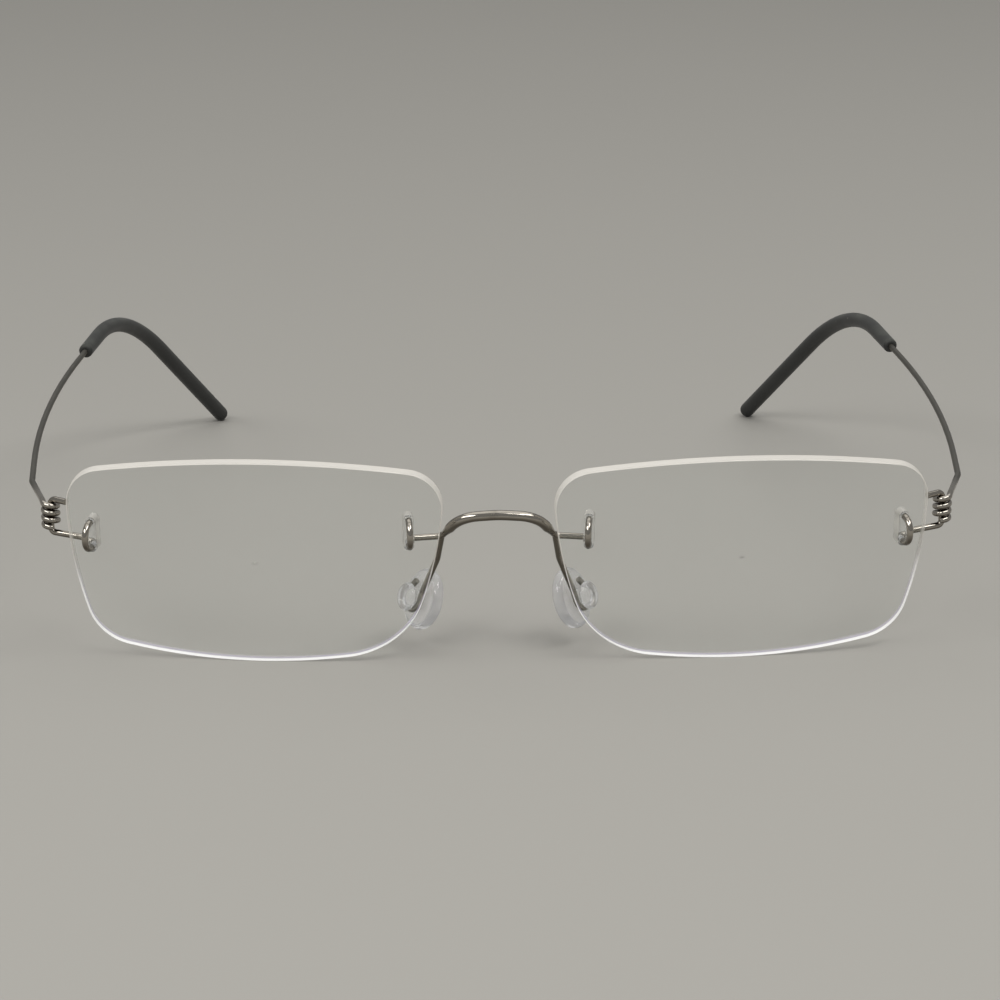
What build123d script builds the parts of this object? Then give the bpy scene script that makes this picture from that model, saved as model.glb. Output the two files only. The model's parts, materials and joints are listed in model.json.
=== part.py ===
from build123d import *
from math import atan2, cos, degrees, pi, radians, sin, sqrt
import os

# Rimless eyeglasses with wire temples, in millimetres. X runs across the face (the wearer's
# left is +X), Y runs from the lenses back to the ears, Z is up. The glasses stand open on a
# table, on the bottoms of the lenses and the ends of the tip sleeves, and the origin lies on
# the table under the middle of the whole pair. The +X half is modelled and mirrored.

# Lenses
lens_width = 54.8
lens_height = 32.0
gap_between_lenses = 16.0
lens_thickness = 1.6
lens_curve_radius = 120.0   # of the middle surface
lens_lean = 9.0             # degrees, top forward
lens_wrap = 5.0             # degrees, outer side back
lens_edge_bevel = 0.15
outer_top_drop = 3.35       # each corner, before rounding, from the sides of the lens's box
outer_top_inset = 0.15
nasal_top_drop = 3.15
nasal_bottom_rise = 1.55
nasal_bottom_inset = 6.75
outer_bottom_rise = 2.45
outer_bottom_inset = 3.65
nasal_side_inset = 1.45     # how far the nasal side has fallen away at mid height
outer_side_inset = 0.55
top_corner_radius = 6.0
nasal_bottom_radius = 13.0
outer_bottom_radius = 7.0

# Wires
front_wire_diameter = 0.95
temple_wire_diameter = 0.9
pad_wire_diameter = 0.9
bridge_diameter = 1.5
tight_bend_radius = 0.75

# Slots in the lenses, their clear plugs and the wire hooks that pass through them
hook_width = 3.9            # between the two legs of a hook
hook_leg = 0.3              # straight part of a leg in front of the lens
hook_flat = 0.06            # straight part across the front of a hook
slot_wall = 0.275           # of plug around a wire
plug_fit = 0.02             # plug in slot, and wire in plug
plug_proud = 0.1
hook_end_proud = 0.15
outer_slot_inset = 3.75     # from the outer side of the lens's box
outer_slot_height = 3.55    # above the middle of the lens
nasal_slot_inset = 5.15
nasal_slot_height = 4.9
cutter_length = 6.4         # of the tools that cut right through a lens

# Hinge: the temple's wire is wound round an upright length of the endpiece's wire
hinge_behind_hook = 2.2    # from the wire where it runs behind the lens
hinge_beyond_lens = 2.6     # from the outer side of the lens's box
coil_bottom_height = 19.65  # of the wire's centre at its cut end
coil_turns = 3
coil_end_angle = 257.0      # degrees round the pin, where the cut end is
coil_clearance = 0.07       # between the pin and the inside of the coil
coil_turn_gap = 0.18        # between neighbouring turns
pin_end_gap = 0.1           # between the coil and the stop above it
stop_reach = 3.1            # length of the bent-over top of the pin
stop_angle = 217.0          # degrees, the way it points
stop_bend_radius = 1.1

# Temples
elbow_back = 9.0            # from the hinge
elbow_out = 3.7
elbow_height = 23.7
temple_rise = 0.0607        # of the wire, for each millimetre back
bow_back = 42.95            # corner of the long bow, from the hinge
bow_out = 6.55
bow_radius = 225.0
ear_back = 97.0             # corner of the ear bend, from the hinge
ear_in = 1.35
tip_back = 127.0
tip_in = 15.95
elbow_radius = 2.5
ear_radius = 38.0
coil_exit = 1.2             # straight wire where it leaves the coil

# Tip sleeves
sleeve_diameter = 2.65      # of the straight tail
sleeve_mouth_diameter = 2.3
sleeve_fit = 0.02
sleeve_length = 67.0        # along its middle
sleeve_end_cover = 3.0      # of sleeve beyond the end of the wire
sleeve_mouth_round = 0.5

# Bridge
bridge_height = 23.65       # of the wire's centre in the middle
bridge_forward = 1.5        # in front of the middle of the lens's surface
bridge_shoulder = 5.5       # half the span of the flatter top
bridge_shoulder_drop = 0.35
bridge_foot_out = 2.7       # beyond the shoulder
bridge_foot_height = 19.45
bridge_foot_behind = 0.65  # from the wire where it runs behind the lens
bridge_foot_radius = 1.2
bridge_shoulder_radius = 4.5
bridge_crown_radius = 20.0
bridge_foot_lead = 1.0      # of thin wire after the corner of the foot
bridge_taper = 1.6          # length over which the wire thickens

# Nose pads and their wires
pad_length = 9.3
pad_width = 8.0
pad_thickness = 2.4
pad_edge_round = 1.1
pad_x = 10.9
pad_behind = 9.0
pad_height = 7.45
pad_splay = 55.0            # degrees, bearing face turned towards the nose
pad_tilt = 18.5             # degrees, bearing face turned down, so the tops are closer together
neck_radius = 1.1
neck_clearance = 0.2
button_radius = 2.15
button_thickness = 0.9
button_edge_round = 0.3
ring_gap = 0.35             # between the ring and the pad or the button
arm_ring_sweep = 218.0      # degrees
arm_tail = 1.9              # straight cut end of the ring
arm_lead = 1.2              # straight wire above the ring
arm_lead_radius = 2.0
arm_knee_down = 0.4         # of the way from the bridge to the ring
arm_knee_in = 0.5           # towards the nose
arm_knee_radius = 5.0

half_lens_width = lens_width / 2
half_lens_height = lens_height / 2
front_wire_radius = front_wire_diameter / 2
temple_wire_radius = temple_wire_diameter / 2
pad_wire_radius = pad_wire_diameter / 2
bridge_radius = bridge_diameter / 2
hook_reach = hook_width / 2
rear_run = lens_thickness / 2 + plug_proud + tight_bend_radius


def tube(path, radius):
    """Round wire along a path of straight runs and tangent arcs."""
    return sweep(Plane(origin=path @ 0, z_dir=path % 0) * Circle(radius), path=path)


def lens_plane():
    """Middle of the lens: x to the outer side, y up, z out of the front."""
    lean, wrap = radians(lens_lean), radians(lens_wrap)
    centre_x = (gap_between_lenses + lens_width * cos(wrap)) / 2
    centre_z = half_lens_height * cos(lean) + lens_thickness / 2 * sin(lean)
    forward = Vector(sin(wrap) * cos(lean), -cos(wrap) * cos(lean), -sin(lean))
    return Plane(origin=(centre_x, 0, centre_z), x_dir=(cos(wrap), sin(wrap), 0), z_dir=forward)


def surface_plane(inset_x, height):
    """A plane on the middle surface of the lens, square to it at that place."""
    depth = sqrt(lens_curve_radius**2 - inset_x**2 - height**2)
    place = lens_plane()
    origin = place.from_local_coords(Vector(inset_x, height, depth - lens_curve_radius))
    normal = place.from_local_coords(Vector(inset_x, height, depth)) - place.origin
    outward = place.x_dir - normal * (place.x_dir.dot(normal) / normal.dot(normal))
    return Plane(origin=origin, x_dir=outward, z_dir=normal)


def outer_slot_plane():
    return surface_plane(half_lens_width - outer_slot_inset, outer_slot_height)


def nasal_slot_plane():
    return surface_plane(nasal_slot_inset - half_lens_width, nasal_slot_height)


def lens_outline():
    """Four shallow arcs with rounded corners."""
    outer_top = (half_lens_width - outer_top_inset, half_lens_height - outer_top_drop)
    nasal_top = (-half_lens_width, half_lens_height - nasal_top_drop)
    nasal_bottom = (nasal_bottom_inset - half_lens_width, nasal_bottom_rise - half_lens_height)
    outer_bottom = (half_lens_width - outer_bottom_inset, outer_bottom_rise - half_lens_height)
    arcs = [
        ThreePointArc(outer_top, (0, half_lens_height), nasal_top),
        ThreePointArc(nasal_top, (nasal_side_inset - half_lens_width, 0), nasal_bottom),
        ThreePointArc(nasal_bottom, (0, -half_lens_height), outer_bottom),
        ThreePointArc(outer_bottom, (half_lens_width - outer_side_inset, 0), outer_top),
    ]
    outline = make_face(Wire(arcs))
    corners = outline.vertices()
    tops = corners.filter_by(lambda v: v.Y > 0)
    bottoms = corners.filter_by(lambda v: v.Y < 0).sort_by(Axis.X)
    outline = fillet(tops, top_corner_radius)
    bottoms = outline.vertices().sort_by_distance(bottoms[0])[:1]
    outline = fillet(bottoms, nasal_bottom_radius)
    bottoms = outline.vertices().sort_by_distance(Vector(*outer_bottom, 0))[:1]
    return fillet(bottoms, outer_bottom_radius)


def slot_prism(plane, wall, length):
    """A stadium across the lens, that much larger all round than the wires it holds."""
    radius = front_wire_radius + plug_fit + wall
    shape = SlotCenterToCenter(hook_width, 2 * radius, rotation=90)
    return plane * Pos(0, 0, -length / 2) * extrude(shape, length)


def make_lens():
    place = lens_plane()
    block = extrude(lens_outline(), lens_height, both=True)
    centre = Pos(0, 0, -lens_curve_radius)
    front = centre * Sphere(lens_curve_radius + lens_thickness / 2)
    back = centre * Sphere(lens_curve_radius - lens_thickness / 2)
    lens = (block & front) - back
    faces = lens.faces().sort_by(SortBy.AREA)[-2:]
    edges = faces[0].edges() + faces[1].edges()
    lens = chamfer(edges, lens_edge_bevel)
    lens = place * lens
    for plane in (outer_slot_plane(), nasal_slot_plane()):
        lens -= slot_prism(plane, slot_wall + plug_fit, cutter_length)
    return lens


def make_plug(plane):
    plug = slot_prism(plane, slot_wall, lens_thickness + 2 * plug_proud)
    for side in (-1, 1):
        hole = Cylinder(front_wire_radius + plug_fit, cutter_length)
        plug -= plane * Pos(0, side * hook_reach, 0) * hole
    return plug


def hook_points(plane):
    """Corners of a hook: in at the top of the slot, over the front and back at the bottom."""
    front = lens_thickness / 2 + hook_leg + hook_reach
    cut_end = -lens_thickness / 2 - hook_end_proud
    corners = [(hook_reach, cut_end), (hook_reach, front), (-hook_reach, front),
               (-hook_reach, -rear_run)]
    return [plane.from_local_coords(Vector(0, up, out)) for up, out in corners]


left_lens = make_lens()
table_height = left_lens.bounding_box().min.Z
hook_bend_radius = (hook_width - hook_flat) / 2
coil_radius = front_wire_radius + coil_clearance + temple_wire_radius
coil_pitch = temple_wire_diameter + coil_turn_gap
hinge_x = lens_plane().from_local_coords(Vector(half_lens_width, 0, 0)).X + hinge_beyond_lens
hinge_y = hook_points(outer_slot_plane())[-1].Y + hinge_behind_hook
elbow = Vector(hinge_x + elbow_out, hinge_y + elbow_back, elbow_height)


def coil_exit_angle():
    """Where a line from the elbow touches the coil, in degrees round the pin."""
    reach = sqrt(elbow_out**2 + elbow_back**2)
    along = degrees(atan2(elbow_back, elbow_out))
    return along - degrees(atan2(sqrt(reach**2 - coil_radius**2), coil_radius))


coil_sweep = 360 * coil_turns + (coil_exit_angle() - coil_end_angle) % 360
coil_top_height = coil_bottom_height + coil_pitch * coil_sweep / 360


def coil_height(angle, turn):
    """Height of the wire's centre at an angle round the pin, on a turn counted from the end."""
    return coil_bottom_height + coil_pitch * (turn + ((angle - coil_end_angle) % 360) / 360)


def make_endpiece():
    hook = hook_points(outer_slot_plane())
    wires_apart = front_wire_radius + temple_wire_radius
    stop_height = coil_height(stop_angle, coil_turns - 1) + wires_apart + pin_end_gap
    pin_bottom = Vector(hinge_x, hinge_y, coil_bottom_height - wires_apart)
    pin_top = Vector(hinge_x, hinge_y, stop_height)
    turn = radians(stop_angle)
    stop_end = pin_top + Vector(stop_reach * cos(turn), stop_reach * sin(turn), 0)
    bends = [hook_bend_radius, hook_bend_radius, tight_bend_radius, tight_bend_radius,
             stop_bend_radius]
    path = FilletPolyline(*hook, pin_bottom, pin_top, stop_end, radius=bends)
    return tube(path, front_wire_radius)


def temple_line():
    """Corners of the temple's centre line, from the coil to the end of the sleeve."""
    angle = radians(coil_exit_angle())
    start = Vector(hinge_x + coil_radius * cos(angle), hinge_y + coil_radius * sin(angle),
                   coil_top_height)
    slope = coil_pitch / (2 * pi * coil_radius)
    leave = start + Vector(-sin(angle), cos(angle), slope).normalized() * coil_exit
    bow = Vector(hinge_x + bow_out, hinge_y + bow_back,
                 elbow_height + temple_rise * (bow_back - elbow_back))
    ear = Vector(hinge_x - ear_in, hinge_y + ear_back,
                 elbow_height + temple_rise * (ear_back - elbow_back))
    tip = Vector(hinge_x - tip_in, hinge_y + tip_back, table_height + sleeve_diameter / 2)
    return [start, leave, elbow, bow, ear, tip]


def shortened(points, cut):
    """The same corners with the last one moved back along its run."""
    run = points[-1] - points[-2]
    return points[:-1] + [points[-1] - run.normalized() * cut]


def temple_path(end_cover):
    """The temple's centre line, ending that far short of the end of the sleeve."""
    return FilletPolyline(*shortened(temple_line(), end_cover),
                          radius=[elbow_radius, elbow_radius, bow_radius, ear_radius])


def last_stretch(path, length):
    """The end of a path, that long."""
    kept = []
    for edge in reversed(path.order_edges()):
        if edge.length > length:
            kept.insert(0, edge.trim(1 - length / edge.length, 1))
            break
        kept.insert(0, edge)
        length -= edge.length
    return Wire(kept)


def make_temple():
    helix = Helix(coil_pitch, coil_top_height - coil_bottom_height, coil_radius)
    coil = sweep(Plane(origin=helix @ 0, z_dir=helix % 0) * Circle(temple_wire_radius),
                 path=helix, is_frenet=True)
    coil = Pos(hinge_x, hinge_y, coil_bottom_height) * Rot(0, 0, coil_end_angle) * coil
    return coil + tube(temple_path(sleeve_end_cover), temple_wire_radius)


def make_sleeve():
    path = last_stretch(temple_path(0), sleeve_length)
    bent = Wire(path.order_edges()[:-1])
    mouth = bent @ 0
    ends = [Plane(origin=mouth, z_dir=bent % 0) * Circle(sleeve_mouth_diameter / 2),
            Plane(origin=bent @ 1, z_dir=bent % 1) * Circle(sleeve_diameter / 2)]
    sleeve = sweep(ends, path=bent, multisection=True)
    rims = sleeve.edges().sort_by(lambda rim: (rim.center(CenterOf.MASS) - mouth).length)
    sleeve = fillet(rims[:1], sleeve_mouth_round)
    sleeve += tube(Line(bent @ 1, path @ 1), sleeve_diameter / 2)
    sleeve += Pos(*(path @ 1)) * Sphere(sleeve_diameter / 2)
    core = last_stretch(temple_path(sleeve_end_cover - sleeve_fit),
                        sleeve_length - sleeve_end_cover + sleeve_diameter)
    return sleeve - tube(core, temple_wire_radius + sleeve_fit)


def bridge_foot():
    behind = hook_points(nasal_slot_plane())[-1].Y + bridge_foot_behind
    return Vector(bridge_shoulder + bridge_foot_out, behind, bridge_foot_height)


def make_bridge():
    hook = hook_points(nasal_slot_plane())
    foot = bridge_foot()
    shoulder = Vector(bridge_shoulder, -bridge_forward, bridge_height - bridge_shoulder_drop)
    crown = Vector(0, -bridge_forward, bridge_height)
    rise = (shoulder - foot).normalized()
    thin_end = foot + rise * bridge_foot_lead
    thick_start = thin_end + rise * bridge_taper
    bends = [hook_bend_radius, hook_bend_radius, tight_bend_radius, bridge_foot_radius]
    thin = FilletPolyline(*hook, foot, thin_end, radius=bends)
    taper = loft([Plane(origin=thin_end, z_dir=rise) * Circle(front_wire_radius),
                  Plane(origin=thick_start, z_dir=rise) * Circle(bridge_radius)])
    mirrored = [Vector(-p.X, p.Y, p.Z) for p in (shoulder, thick_start)]
    arch = FilletPolyline(thick_start, shoulder, crown, *mirrored,
                          radius=[bridge_shoulder_radius, bridge_crown_radius,
                                  bridge_shoulder_radius])
    half = tube(thin, front_wire_radius) + taper
    return half + mirror(half, about=Plane.YZ) + tube(arch, bridge_radius)


def pad_plane():
    """Middle of the pad: x across it, y up its length, z out of the face on the nose."""
    splay, tilt = radians(pad_splay), radians(pad_tilt)
    face = Vector(-sin(splay) * cos(tilt), cos(splay) * cos(tilt), -sin(tilt))
    across = Vector(-cos(splay), -sin(splay), 0)
    return Plane(origin=(pad_x, pad_behind, pad_height), x_dir=across, z_dir=face)


def ring_depth():
    return pad_thickness / 2 + ring_gap + pad_wire_radius


def make_pad():
    oval = extrude(Ellipse(pad_width / 2, pad_length / 2), pad_thickness / 2, both=True)
    oval = fillet(oval.edges(), pad_edge_round)
    neck_length = 2 * ring_gap + pad_wire_diameter
    neck = Pos(0, 0, -pad_thickness / 2 - neck_length / 2) * Cylinder(neck_radius, neck_length)
    button = Cylinder(button_radius, button_thickness)
    button = fillet(button.edges(), button_edge_round)
    button = Pos(0, 0, -pad_thickness / 2 - neck_length - button_thickness / 2) * button
    return pad_plane() * (oval + neck + button)


def make_pad_arm(bridge):
    ring_radius = neck_radius + neck_clearance + pad_wire_radius
    plane = pad_plane()

    def ring_point(angle):
        turn = radians(angle)
        return plane.from_local_coords(
            Vector(ring_radius * cos(turn), ring_radius * sin(turn), -ring_depth()))

    ring = ThreePointArc(ring_point(0), ring_point(-arm_ring_sweep / 2),
                         ring_point(-arm_ring_sweep))
    tail = Line(ring @ 1, ring @ 1 + (ring % 1) * arm_tail)
    lead = ring_point(0) - (ring % 0) * arm_lead
    foot = bridge_foot()
    knee = foot + (lead - foot) * arm_knee_down - Vector(arm_knee_in, 0, 0)
    arm = FilletPolyline(foot, knee, lead, ring_point(0),
                         radius=[arm_knee_radius, arm_lead_radius])
    path = Wire(list(arm.edges()) + [ring.edge(), tail.edge()])
    return tube(path, pad_wire_radius) - bridge


def export_both(name, solid):
    """The +X piece is the wearer's left one, and its mirror image is the right one."""
    pieces[f"left_{name}"] = solid
    pieces[f"right_{name}"] = mirror(solid, about=Plane.YZ)


pieces = {}
export_both("lens", left_lens)
export_both("outer_plug", make_plug(outer_slot_plane()))
export_both("inner_plug", make_plug(nasal_slot_plane()))
export_both("endpiece", make_endpiece())
export_both("temple", make_temple())
export_both("tip_sleeve", make_sleeve())
export_both("nose_pad", make_pad())
pieces["bridge"] = make_bridge()
export_both("pad_arm", make_pad_arm(pieces["bridge"]))

boxes = [piece.bounding_box() for piece in pieces.values()]
front = min(box.min.Y for box in boxes)
back = max(box.max.Y for box in boxes)
lowest = min(box.min.Z for box in boxes)
to_origin = Pos(0, -(front + back) / 2, -lowest)
os.makedirs("parts", exist_ok=True)
for name, piece in pieces.items():
    placed = to_origin * piece
    placed.label = name
    export_step(placed, f"parts/{name}.step")
print(len(pieces), "pieces, front to back", front, back)
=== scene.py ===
import json
import math

import bpy
import numpy as np
from mathutils import Matrix, Vector


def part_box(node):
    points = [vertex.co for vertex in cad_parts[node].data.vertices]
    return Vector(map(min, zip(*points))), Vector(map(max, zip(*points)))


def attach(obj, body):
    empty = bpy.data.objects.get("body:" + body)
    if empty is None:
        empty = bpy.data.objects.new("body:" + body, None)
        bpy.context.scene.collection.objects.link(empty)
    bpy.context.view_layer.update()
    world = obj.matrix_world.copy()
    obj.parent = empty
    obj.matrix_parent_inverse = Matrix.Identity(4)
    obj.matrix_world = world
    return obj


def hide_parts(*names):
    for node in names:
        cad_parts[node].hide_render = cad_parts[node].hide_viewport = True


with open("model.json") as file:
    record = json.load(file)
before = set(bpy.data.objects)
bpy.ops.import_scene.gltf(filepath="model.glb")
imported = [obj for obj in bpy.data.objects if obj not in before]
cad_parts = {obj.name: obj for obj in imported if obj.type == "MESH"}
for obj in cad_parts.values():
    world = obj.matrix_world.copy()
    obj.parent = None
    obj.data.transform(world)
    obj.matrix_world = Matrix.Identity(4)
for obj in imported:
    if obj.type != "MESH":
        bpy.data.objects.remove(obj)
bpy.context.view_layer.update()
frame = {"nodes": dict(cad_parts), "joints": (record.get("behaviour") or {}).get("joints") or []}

nodes = frame["nodes"]
joints = {joint["name"]: joint for joint in frame["joints"]}
scene = bpy.context.scene
mm = 0.001
print("frame loaded,", len(nodes), "nodes")


# One socket of a shader: sums on it add their Math nodes.
class Sock:
    def __init__(self, shader, socket):
        self.shader = shader
        self.socket = socket

    def sum(self, operation, first, second):
        return self.shader.node("ShaderNodeMath", {"operation": operation}, {0: first, 1: second})

    def __add__(self, other):
        return self.sum("ADD", self, other)

    def __sub__(self, other):
        return self.sum("SUBTRACT", self, other)

    def __rsub__(self, other):
        return self.sum("SUBTRACT", other, self)

    def __mul__(self, other):
        return self.sum("MULTIPLY", self, other)

    def __truediv__(self, other):
        return self.sum("DIVIDE", self, other)

    def __pow__(self, other):
        return self.sum("POWER", self, other)

    __radd__ = __add__
    __rmul__ = __mul__


class Shader:
    def __init__(self, name):
        self.material = bpy.data.materials.new(name)
        self.material.use_nodes = True
        self.tree = self.material.node_tree
        self.tree.nodes.clear()
        self.output = self.tree.nodes.new("ShaderNodeOutputMaterial")

    def node(self, kind, settings=None, values=None, out=0):
        made = self.tree.nodes.new(kind)
        for key, value in (settings or {}).items():
            setattr(made, key, value)
        for key, value in (values or {}).items():
            if isinstance(value, Sock):
                self.tree.links.new(value.socket, made.inputs[key])
            else:
                made.inputs[key].default_value = value
        return Sock(self, made.outputs[out])

    def place(self):
        return self.node("ShaderNodeTexCoord", out="Object")

    def scaled(self, scale):
        return self.node("ShaderNodeMapping", {}, {"Vector": self.place(), "Scale": scale})

    def normals(self):
        return self.axes(self.node("ShaderNodeTexCoord", out="Normal"))

    def distance(self, point):
        return self.node("ShaderNodeVectorMath", {"operation": "DISTANCE"},
                         {0: self.place(), 1: point}, out="Value")

    def axes(self, vector):
        parts = self.tree.nodes.new("ShaderNodeSeparateXYZ")
        self.tree.links.new(vector.socket, parts.inputs[0])
        return [Sock(self, output) for output in parts.outputs]

    def noise(self, scale, detail=3.0, vector=None):
        return self.node("ShaderNodeTexNoise", {}, {"Vector": vector or self.place(),
                                                    "Scale": scale, "Detail": detail})

    # 0 at the first limit, 1 at the second, and smooth between them, in either direction
    def band(self, value, first, second):
        return self.node("ShaderNodeMapRange", {"interpolation_type": "SMOOTHSTEP"},
                         {0: value, 1: first, 2: second})

    def tint(self, factor, first, second):
        return self.node("ShaderNodeMix", {"data_type": "RGBA"},
                         {0: factor, 6: first, 7: second}, out=2)

    def bump(self, height, strength, distance):
        return self.node("ShaderNodeBump", {}, {"Height": height, "Strength": strength,
                                                "Distance": distance})

    def finish(self, values):
        surface = self.node("ShaderNodeBsdfPrincipled", {}, values)
        self.tree.links.new(surface.socket, self.output.inputs["Surface"])
        return self.material


def paint(names, material):
    for name in names:
        for place in nodes[name].material_slots:
            place.material = material


def both(name):
    return ["left_" + name, "right_" + name]


# Polished wire of the front: drawn lines too fine to count, soft handling marks, and painted
# shade that darkens the undersides.
titanium = {"base": (0.44, 0.41, 0.365, 1), "dark": (0.34, 0.315, 0.275, 1), "rough": 0.11,
            "roughMarks": 0.2, "marks": 420.0, "marksBand": (0.42, 0.7),
            "lines": 2600.0, "lineStretch": (0.12, 1.0, 1.0), "lineBump": 0.12,
            "bumpDepth": 0.02 * mm, "paintedUndersideShade": (0.125, 0.11, 0.09, 1),
            "undersideShadeBand": (-0.55, 0.15)}


# Painted shade: darkens the base colour on faces that look down.
def withPaintedUndersideShade(s, shade):
    undersideShade = s.band(s.normals()[2], *titanium["undersideShadeBand"])
    return s.tint(undersideShade, titanium["paintedUndersideShade"], shade)


def polishedTitanium():
    s = Shader("polishedTitanium")
    marks = s.band(s.noise(titanium["marks"], 4.0), *titanium["marksBand"])
    lines = s.noise(titanium["lines"], 2.0, s.scaled(titanium["lineStretch"]))
    roughening = titanium["roughMarks"] - titanium["rough"]
    return s.finish({
        "Base Color": withPaintedUndersideShade(s, s.tint(marks, titanium["base"], titanium["dark"])),
        "Metallic": 1.0, "Roughness": titanium["rough"] + marks * roughening,
        "Normal": s.bump(lines, titanium["lineBump"], titanium["bumpDepth"])})


# Temple wire: bright and polished at the coil; behind it rougher, with its colour painted darker
# as shade.
templeWire = {"bright": (0.46, 0.43, 0.385, 1), "dullAndShaded": (0.16, 0.154, 0.138, 1),
              "worn": (0.26, 0.25, 0.225, 1), "wear": 0.2, "mottle": 520.0,
              "mottleBand": (0.35, 0.72), "mottleRough": 0.08, "roughBright": 0.11,
              "roughDull": 0.42, "fade": (2.2 * mm, 7.5 * mm), "skin": 2400.0,
              "skinBump": 0.1, "bumpDepth": 0.02 * mm}


def templeMetal():
    s = Shader("templeTitanium")
    hingeY = joints["left_temple_fold"]["pos_m"][1]
    dullAndShaded = s.band(s.axes(s.place())[1] - hingeY, *templeWire["fade"])
    mottle = s.band(s.noise(templeWire["mottle"], 4.0), *templeWire["mottleBand"])
    rough = (templeWire["roughBright"] + mottle * templeWire["mottleRough"]
             + dullAndShaded * (templeWire["roughDull"] - templeWire["roughBright"]))
    # Painted shade: the colour turns darker away from the coil.
    shade = s.tint(dullAndShaded, templeWire["bright"], templeWire["dullAndShaded"])
    worn = s.tint(mottle * templeWire["wear"], shade, templeWire["worn"])
    skin = s.noise(templeWire["skin"], 2.0)
    return s.finish({"Base Color": withPaintedUndersideShade(s, worn), "Metallic": 1.0, "Roughness": rough,
                     "Normal": s.bump(skin, templeWire["skinBump"], templeWire["bumpDepth"])})


# Soft matte silicone of the tip sleeves, with a fine skin, a painted sheen on top and a little
# dust.
silicone = {"base": (0.021, 0.022, 0.021, 1), "paintedSheen": (0.06, 0.064, 0.055, 1),
            "dust": (0.3, 0.29, 0.26, 1), "rough": 0.52, "roughCloud": 0.2, "roughDust": 0.2,
            "cloud": 240.0, "cloudBand": (0.35, 0.7), "sheenUp": (-0.1, 0.9), "sheenAmount": 0.7,
            "specks": 700.0, "speckBand": (0.14, 0.08), "patches": 330.0,
            "patchBand": (0.56, 0.62), "dustUp": (-0.2, 0.6),
            "skin": 3800.0, "skinBump": 0.3, "bumpDepth": 0.03 * mm}


def darkSilicone():
    s = Shader("darkSilicone")
    up = s.normals()[2]
    skin = s.noise(silicone["skin"], 2.0)
    cloud = s.noise(silicone["cloud"], 4.0)
    specks = s.node("ShaderNodeTexVoronoi", {}, {"Vector": s.place(),
                                                 "Scale": silicone["specks"]})
    patches = s.band(s.noise(silicone["patches"], 1.0), *silicone["patchBand"])
    dust = s.band(specks, *silicone["speckBand"]) * patches * s.band(up, *silicone["dustUp"])
    # Painted sheen: a lighter tone on faces that look up.
    paintedSheen = s.band(cloud, *silicone["cloudBand"]) * s.band(up, *silicone["sheenUp"])
    shade = s.tint(paintedSheen * silicone["sheenAmount"], silicone["base"], silicone["paintedSheen"])
    rough = silicone["rough"] + cloud * silicone["roughCloud"] + dust * silicone["roughDust"]
    return s.finish({
        "Base Color": s.tint(dust, shade, silicone["dust"]), "Roughness": rough,
        "Specular IOR Level": 0.45, "Sheen Weight": 0.12, "Sheen Roughness": 0.4,
        "Normal": s.bump(skin, silicone["skinBump"], silicone["bumpDepth"])})


# Coated lens: almost nothing on its faces, and a ground edge that shows all round. Along the
# bottom, light is painted in: the front of the edge is painted white and given a painted glow,
# and the back of it is painted faint and bluish.
# faceNormal is how squarely a vertex has to look forwards or back to lie on a face.
lensLook = {"face": (0.50, 0.56, 0.50, 1), "edge": (0.86, 0.83, 0.78, 1),
            "paintedBottomEdge": (1.0, 1.0, 1.0, 1), "paintedDimBottomBack": (0.70, 0.66, 0.86, 1),
            "faceAlpha": 0.045, "edgeAlpha": 0.62, "backAlpha": 0.3, "slotAlpha": 0.4,
            "noGlow": (0, 0, 0, 1), "paintedGlow": (0.30, 0.30, 0.31, 1), "thickness": 1.6 * mm,
            "faceNormal": 0.93, "rimBand": (0.90, 0.78), "bottomBand": (0.55, 0.25),
            "frontBand": (0.30, 0.55), "slotBand": (1.1, 1.3), "smear": 60.0,
            "smearBand": (0.4, 0.75), "smearAlpha": 0.012, "rough": 0.03, "smearRough": 0.03,
            "edgeRough": 0.26, "grain": 1500.0, "grainRough": 0.2, "grainBump": 0.12,
            "bumpDepth": 0.02 * mm, "ior": 1.5}


# Centre of the spheres that both faces lie on, and the radius of the back one
def lensSphere(node):
    faces = [(vertex.co, vertex.normal.y < 0) for vertex in nodes[node].data.vertices
             if abs(vertex.normal.y) > lensLook["faceNormal"]]
    rows = [(2 * co.x, 2 * co.y, 2 * co.z, float(isFront), float(not isFront))
            for co, isFront in faces]
    sizes = [co.length_squared for co, isFront in faces]
    x, y, z, _, back = np.linalg.lstsq(np.array(rows), np.array(sizes), rcond=None)[0]
    centre = Vector((x, y, z))
    return centre, math.sqrt(back + centre.length_squared)


def awayFromSlot(s, plug):
    low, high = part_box(plug)
    reach = (high.z - low.z) / 2
    near, far = lensLook["slotBand"]
    return s.band(s.distance((low + high) / 2), reach * near, reach * far)


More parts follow.
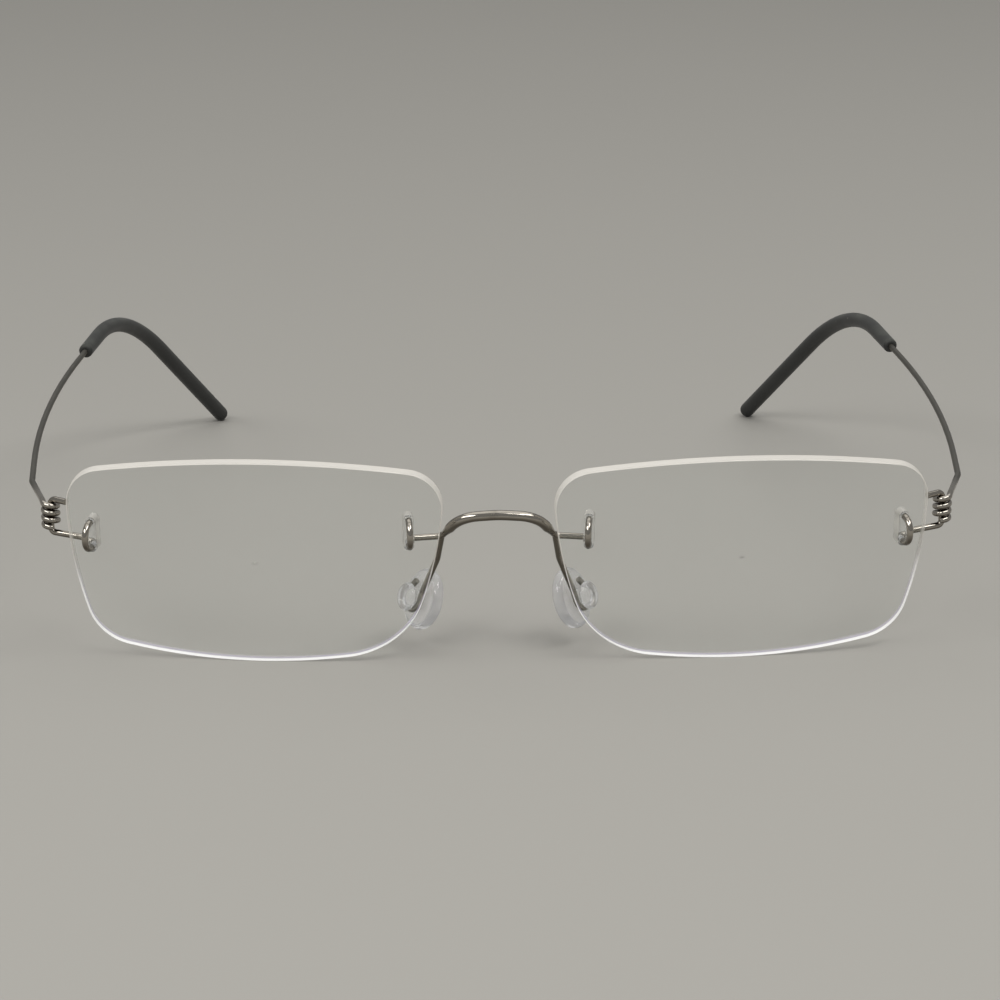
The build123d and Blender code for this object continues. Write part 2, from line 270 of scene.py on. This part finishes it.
def coatedLens(side):
    s = Shader("coatedLens" + side.title())
    low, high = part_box(side + "_lens")
    centre, backRadius = lensSphere(side + "_lens")
    print(side, "lens: back surface radius", round(backRadius / mm, 2))
    depth = (s.distance(centre) - backRadius) / lensLook["thickness"]
    height = (s.axes(s.place())[2] - low.z) / (high.z - low.z)
    forwards = s.normals()[1]
    rim = s.band((forwards * forwards) ** 0.5, *lensLook["rimBand"])
    bottom = s.band(height, *lensLook["bottomBand"])
    front = s.band(depth, *lensLook["frontBand"])
    grain = s.noise(lensLook["grain"])
    smear = s.band(s.noise(lensLook["smear"]), *lensLook["smearBand"])
    # Painted light: white along the front of the bottom edge, dim and bluish along its back.
    paintedBottomEdge = s.tint(front, lensLook["paintedDimBottomBack"], lensLook["paintedBottomEdge"])
    edge = s.tint(bottom, lensLook["edge"], paintedBottomEdge)
    fainter = bottom * (1 - front) * (lensLook["edgeAlpha"] - lensLook["backAlpha"])
    ground = awayFromSlot(s, side + "_outer_plug") * awayFromSlot(s, side + "_inner_plug")
    shining = rim * ground
    alpha = (lensLook["faceAlpha"] + smear * lensLook["smearAlpha"]
             + shining * (lensLook["edgeAlpha"] - fainter)
             + (rim - shining) * lensLook["slotAlpha"])
    rough = (lensLook["rough"] + smear * lensLook["smearRough"]
             + rim * (lensLook["edgeRough"] + grain * lensLook["grainRough"]))
    # Painted glow: emission along the front of the bottom edge, though nothing there gives light.
    paintedGlow = s.tint(shining * bottom * front, lensLook["noGlow"], lensLook["paintedGlow"])
    return s.finish({
        "Base Color": s.tint(rim, lensLook["face"], edge), "Roughness": rough,
        "Alpha": alpha, "IOR": lensLook["ior"],
        "Emission Strength": 1.0, "Emission Color": paintedGlow,
        "Normal": s.bump(grain * rim, lensLook["grainBump"], lensLook["bumpDepth"])})


# Clear moulded plastic or silicone: milky is how much of it scatters light.
clearLook = {"flow": 900.0, "flowTint": (0.97, 0.97, 0.96, 1), "flowBand": (0.45, 0.8),
             "flowRough": 0.08, "flowBump": 0.15, "bumpDepth": 0.03 * mm,
             "plug": {"tint": (0.93, 0.95, 0.94, 1), "rough": 0.04, "ior": 1.47, "milky": 0.12},
             "pad": {"tint": (0.96, 0.965, 1.0, 1), "rough": 0.09, "ior": 1.45, "milky": 0.2}}


def clearPlastic(name, look):
    s = Shader(name)
    flow = s.noise(clearLook["flow"], 2.0)
    cloudy = s.band(flow, *clearLook["flowBand"])
    return s.finish({
        "Base Color": s.tint(flow, look["tint"], clearLook["flowTint"]),
        "Roughness": look["rough"] + cloudy * clearLook["flowRough"],
        "Transmission Weight": 1.0 - look["milky"], "IOR": look["ior"],
        "Normal": s.bump(flow, clearLook["flowBump"], clearLook["bumpDepth"])})


paint(both("endpiece") + both("pad_arm") + ["bridge"], polishedTitanium())
paint(both("temple"), templeMetal())
paint(both("tip_sleeve"), darkSilicone())
for lensSide in ("left", "right"):
    paint([lensSide + "_lens"], coatedLens(lensSide))
paint(both("outer_plug") + both("inner_plug"), clearPlastic("clearPlug", clearLook["plug"]))
print("materials done")


# Nose pad: rings from the back of its button, over the neck, to the face on the nose.
# Each is its depth, half width and half height in millimetres, from the middle of the pad.
# pivotDepth is how far the joint lies behind that middle.
nosePad = {"tilt": 18.5, "pivotDepth": 2.0 * mm, "sides": 48, "slot": "nose_pad",
           "weld": 0.001 * mm, "smoothing": 1, "rings": [
    (-3.70, 1.50, 1.50), (-3.64, 1.82, 1.82), (-3.46, 2.04, 2.04), (-3.22, 2.14, 2.14),
    (-3.00, 2.06, 2.06), (-2.86, 1.82, 1.82), (-2.80, 1.40, 1.40), (-2.70, 1.12, 1.12),
    (-2.00, 1.06, 1.06), (-1.34, 1.12, 1.12), (-1.20, 1.45, 1.50), (-1.16, 2.60, 3.05),
    (-1.02, 3.30, 3.92), (-0.72, 3.74, 4.38), (-0.30, 3.95, 4.60), (0.15, 3.98, 4.63),
    (0.55, 3.84, 4.48), (0.86, 3.50, 4.12), (1.06, 2.96, 3.52), (1.14, 2.10, 2.50),
    (1.10, 1.10, 1.30)]}


def padFrame(joint):
    across = Vector(joint["axis"])
    splay = math.atan2(-across.y, -across.x)
    tilt = math.radians(nosePad["tilt"])
    face = Vector((-math.sin(splay) * math.cos(tilt), math.cos(splay) * math.cos(tilt),
                   -math.sin(tilt)))
    middle = Vector(joint["pos_m"]) + face * nosePad["pivotDepth"]
    turn = Matrix((across, face.cross(across), face)).transposed()
    return Matrix.Translation(middle) @ turn.to_4x4()


def settle(piece, matrix):
    piece.data.transform(matrix)
    piece.location = (0, 0, 0)
    piece.data.update()


def selectOnly(piece):
    bpy.ops.object.select_all(action="DESELECT")
    piece.select_set(True)
    bpy.context.view_layer.objects.active = piece


def recalcOutward(piece):
    selectOnly(piece)
    bpy.ops.object.mode_set(mode="EDIT")
    bpy.ops.mesh.select_all(action="SELECT")
    bpy.ops.mesh.remove_doubles(threshold=nosePad["weld"])
    bpy.ops.mesh.normals_make_consistent(inside=False)
    bpy.ops.object.mode_set(mode="OBJECT")


def makeNosePad():
    bpy.ops.object.select_all(action="DESELECT")
    depth, halfWidth, halfHeight = nosePad["rings"][0]
    bpy.ops.mesh.primitive_circle_add(vertices=nosePad["sides"], radius=halfWidth * mm,
                                      fill_type="TRIFAN", location=(0, 0, depth * mm))
    pad = bpy.context.object
    bpy.ops.object.mode_set(mode="EDIT")
    bpy.ops.mesh.select_all(action="SELECT")
    for nextDepth, nextWidth, nextHeight in nosePad["rings"][1:]:
        bpy.ops.mesh.extrude_region_move(
            TRANSFORM_OT_translate={"value": (0, 0, (nextDepth - depth) * mm)})
        bpy.ops.transform.resize(value=(nextWidth / halfWidth, nextHeight / halfHeight, 1))
        depth, halfWidth, halfHeight = nextDepth, nextWidth, nextHeight
    bpy.ops.object.mode_set(mode="OBJECT")
    bpy.ops.object.transform_apply(location=True, rotation=True, scale=True)
    recalcOutward(pad)
    smooth = pad.modifiers.new("smooth", "SUBSURF")
    smooth.levels = smooth.render_levels = nosePad["smoothing"]
    bpy.ops.object.modifier_apply(modifier=smooth.name)
    bpy.ops.object.shade_smooth()
    return pad


def placeNosePads():
    pad = makeNosePad()
    pad.data.materials.append(clearPlastic("clearSilicone", clearLook["pad"]))
    mirrored = pad.copy()
    mirrored.data = pad.data.copy()
    scene.collection.objects.link(mirrored)
    left = padFrame(joints["left_pad_rock"])
    settle(pad, left)
    settle(mirrored, Matrix.Scale(-1, 4, Vector((1, 0, 0))) @ left)
    recalcOutward(mirrored)
    for side, piece in (("left", pad), ("right", mirrored)):
        piece.name = side + "_soft_nose_pad"
        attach(piece, side + "_nose_pad")
        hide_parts(side + "_nose_pad")


placeNosePads()
print("nose pads done")


# Plain warm grey floor, a hair below the glasses
floorLook = {"size": 12.0, "drop": 0.02 * mm, "colour": (0.37, 0.362, 0.34, 1),
             "other": (0.385, 0.375, 0.352, 1), "cloud": 3.0, "rough": 0.8,
             "specular": 0.2, "grain": 900.0, "grainBump": 0.1, "bumpDepth": 0.05 * mm}


def makeFloor():
    bpy.ops.object.select_all(action="DESELECT")
    bpy.ops.mesh.primitive_plane_add(size=floorLook["size"], location=(0, 0, -floorLook["drop"]))
    floor = bpy.context.object
    floor.name = "floor"
    s = Shader("studioFloor")
    cloud = s.noise(floorLook["cloud"])
    grain = s.noise(floorLook["grain"])
    floor.data.materials.append(s.finish({
        "Base Color": s.tint(cloud, floorLook["colour"], floorLook["other"]),
        "Roughness": floorLook["rough"], "Specular IOR Level": floorLook["specular"],
        "Normal": s.bump(grain, floorLook["grainBump"], floorLook["bumpDepth"])}))


makeFloor()

# A soft box above on each side, a large one overhead and behind, and a dim grey room
lightSet = {"room": (0.53, 0.53, 0.52, 1), "roomStrength": 0.53, "colour": (1.0, 0.985, 0.955),
            "boxes": [{"name": "leftBox", "azimuth": -44.0, "elevation": 40.0, "distance": 0.95,
                       "size": (0.75, 0.26), "power": 3.4},
                      {"name": "rightBox", "azimuth": 44.0, "elevation": 54.0, "distance": 0.95,
                       "size": (0.75, 0.26), "power": 3.2},
                      {"name": "overhead", "azimuth": 180.0, "elevation": 78.0, "distance": 1.3,
                       "size": (1.8, 1.6), "power": 7.4}]}


def aimed(thing, place, target):
    thing.location = place
    thing.rotation_mode = "QUATERNION"
    thing.rotation_quaternion = (target - place).to_track_quat("-Z", "Y")


def fromAngles(azimuth, elevation, distance):
    turn, rise = math.radians(azimuth), math.radians(elevation)
    return distance * Vector((math.sin(turn) * math.cos(rise), -math.cos(turn) * math.cos(rise),
                              math.sin(rise)))


def makeLights():
    for box in lightSet["boxes"]:
        data = bpy.data.lights.new(box["name"], "AREA")
        data.shape = "RECTANGLE"
        data.size, data.size_y = box["size"]
        data.energy = box["power"]
        data.color = lightSet["colour"]
        lamp = bpy.data.objects.new(box["name"], data)
        scene.collection.objects.link(lamp)
        place = fromAngles(box["azimuth"], box["elevation"], box["distance"])
        aimed(lamp, place, Vector((0, 0, 0)))
    world = bpy.data.worlds.new("room")
    world.use_nodes = True
    background = world.node_tree.nodes["Background"]
    background.inputs["Color"].default_value = lightSet["room"]
    background.inputs["Strength"].default_value = lightSet["roomStrength"]
    scene.world = world


makeLights()

# Camera: almost straight on and a little above, just under half a metre from the front
cameraSet = {"target": (0.197 * mm, -66.08 * mm, 25.23 * mm), "azimuth": -1.147,
             "elevation": 17.0, "roll": -0.104, "distance": 450.0 * mm, "lens": 112.9,
             "sensor": 36.0, "clip": (0.01, 50.0)}


def makeCamera():
    data = bpy.data.cameras.new("camera")
    data.lens = cameraSet["lens"]
    data.sensor_width = cameraSet["sensor"]
    data.clip_start, data.clip_end = cameraSet["clip"]
    camera = bpy.data.objects.new("camera", data)
    scene.collection.objects.link(camera)
    target = Vector(cameraSet["target"])
    place = target + fromAngles(cameraSet["azimuth"], cameraSet["elevation"],
                                cameraSet["distance"])
    aimed(camera, place, target)
    turn = Matrix.Rotation(math.radians(cameraSet["roll"]), 4, place - target)
    camera.rotation_quaternion = turn.to_quaternion() @ camera.rotation_quaternion
    scene.camera = camera


makeCamera()
scene.view_settings.view_transform = "Standard"
print("floor, lights and camera done")
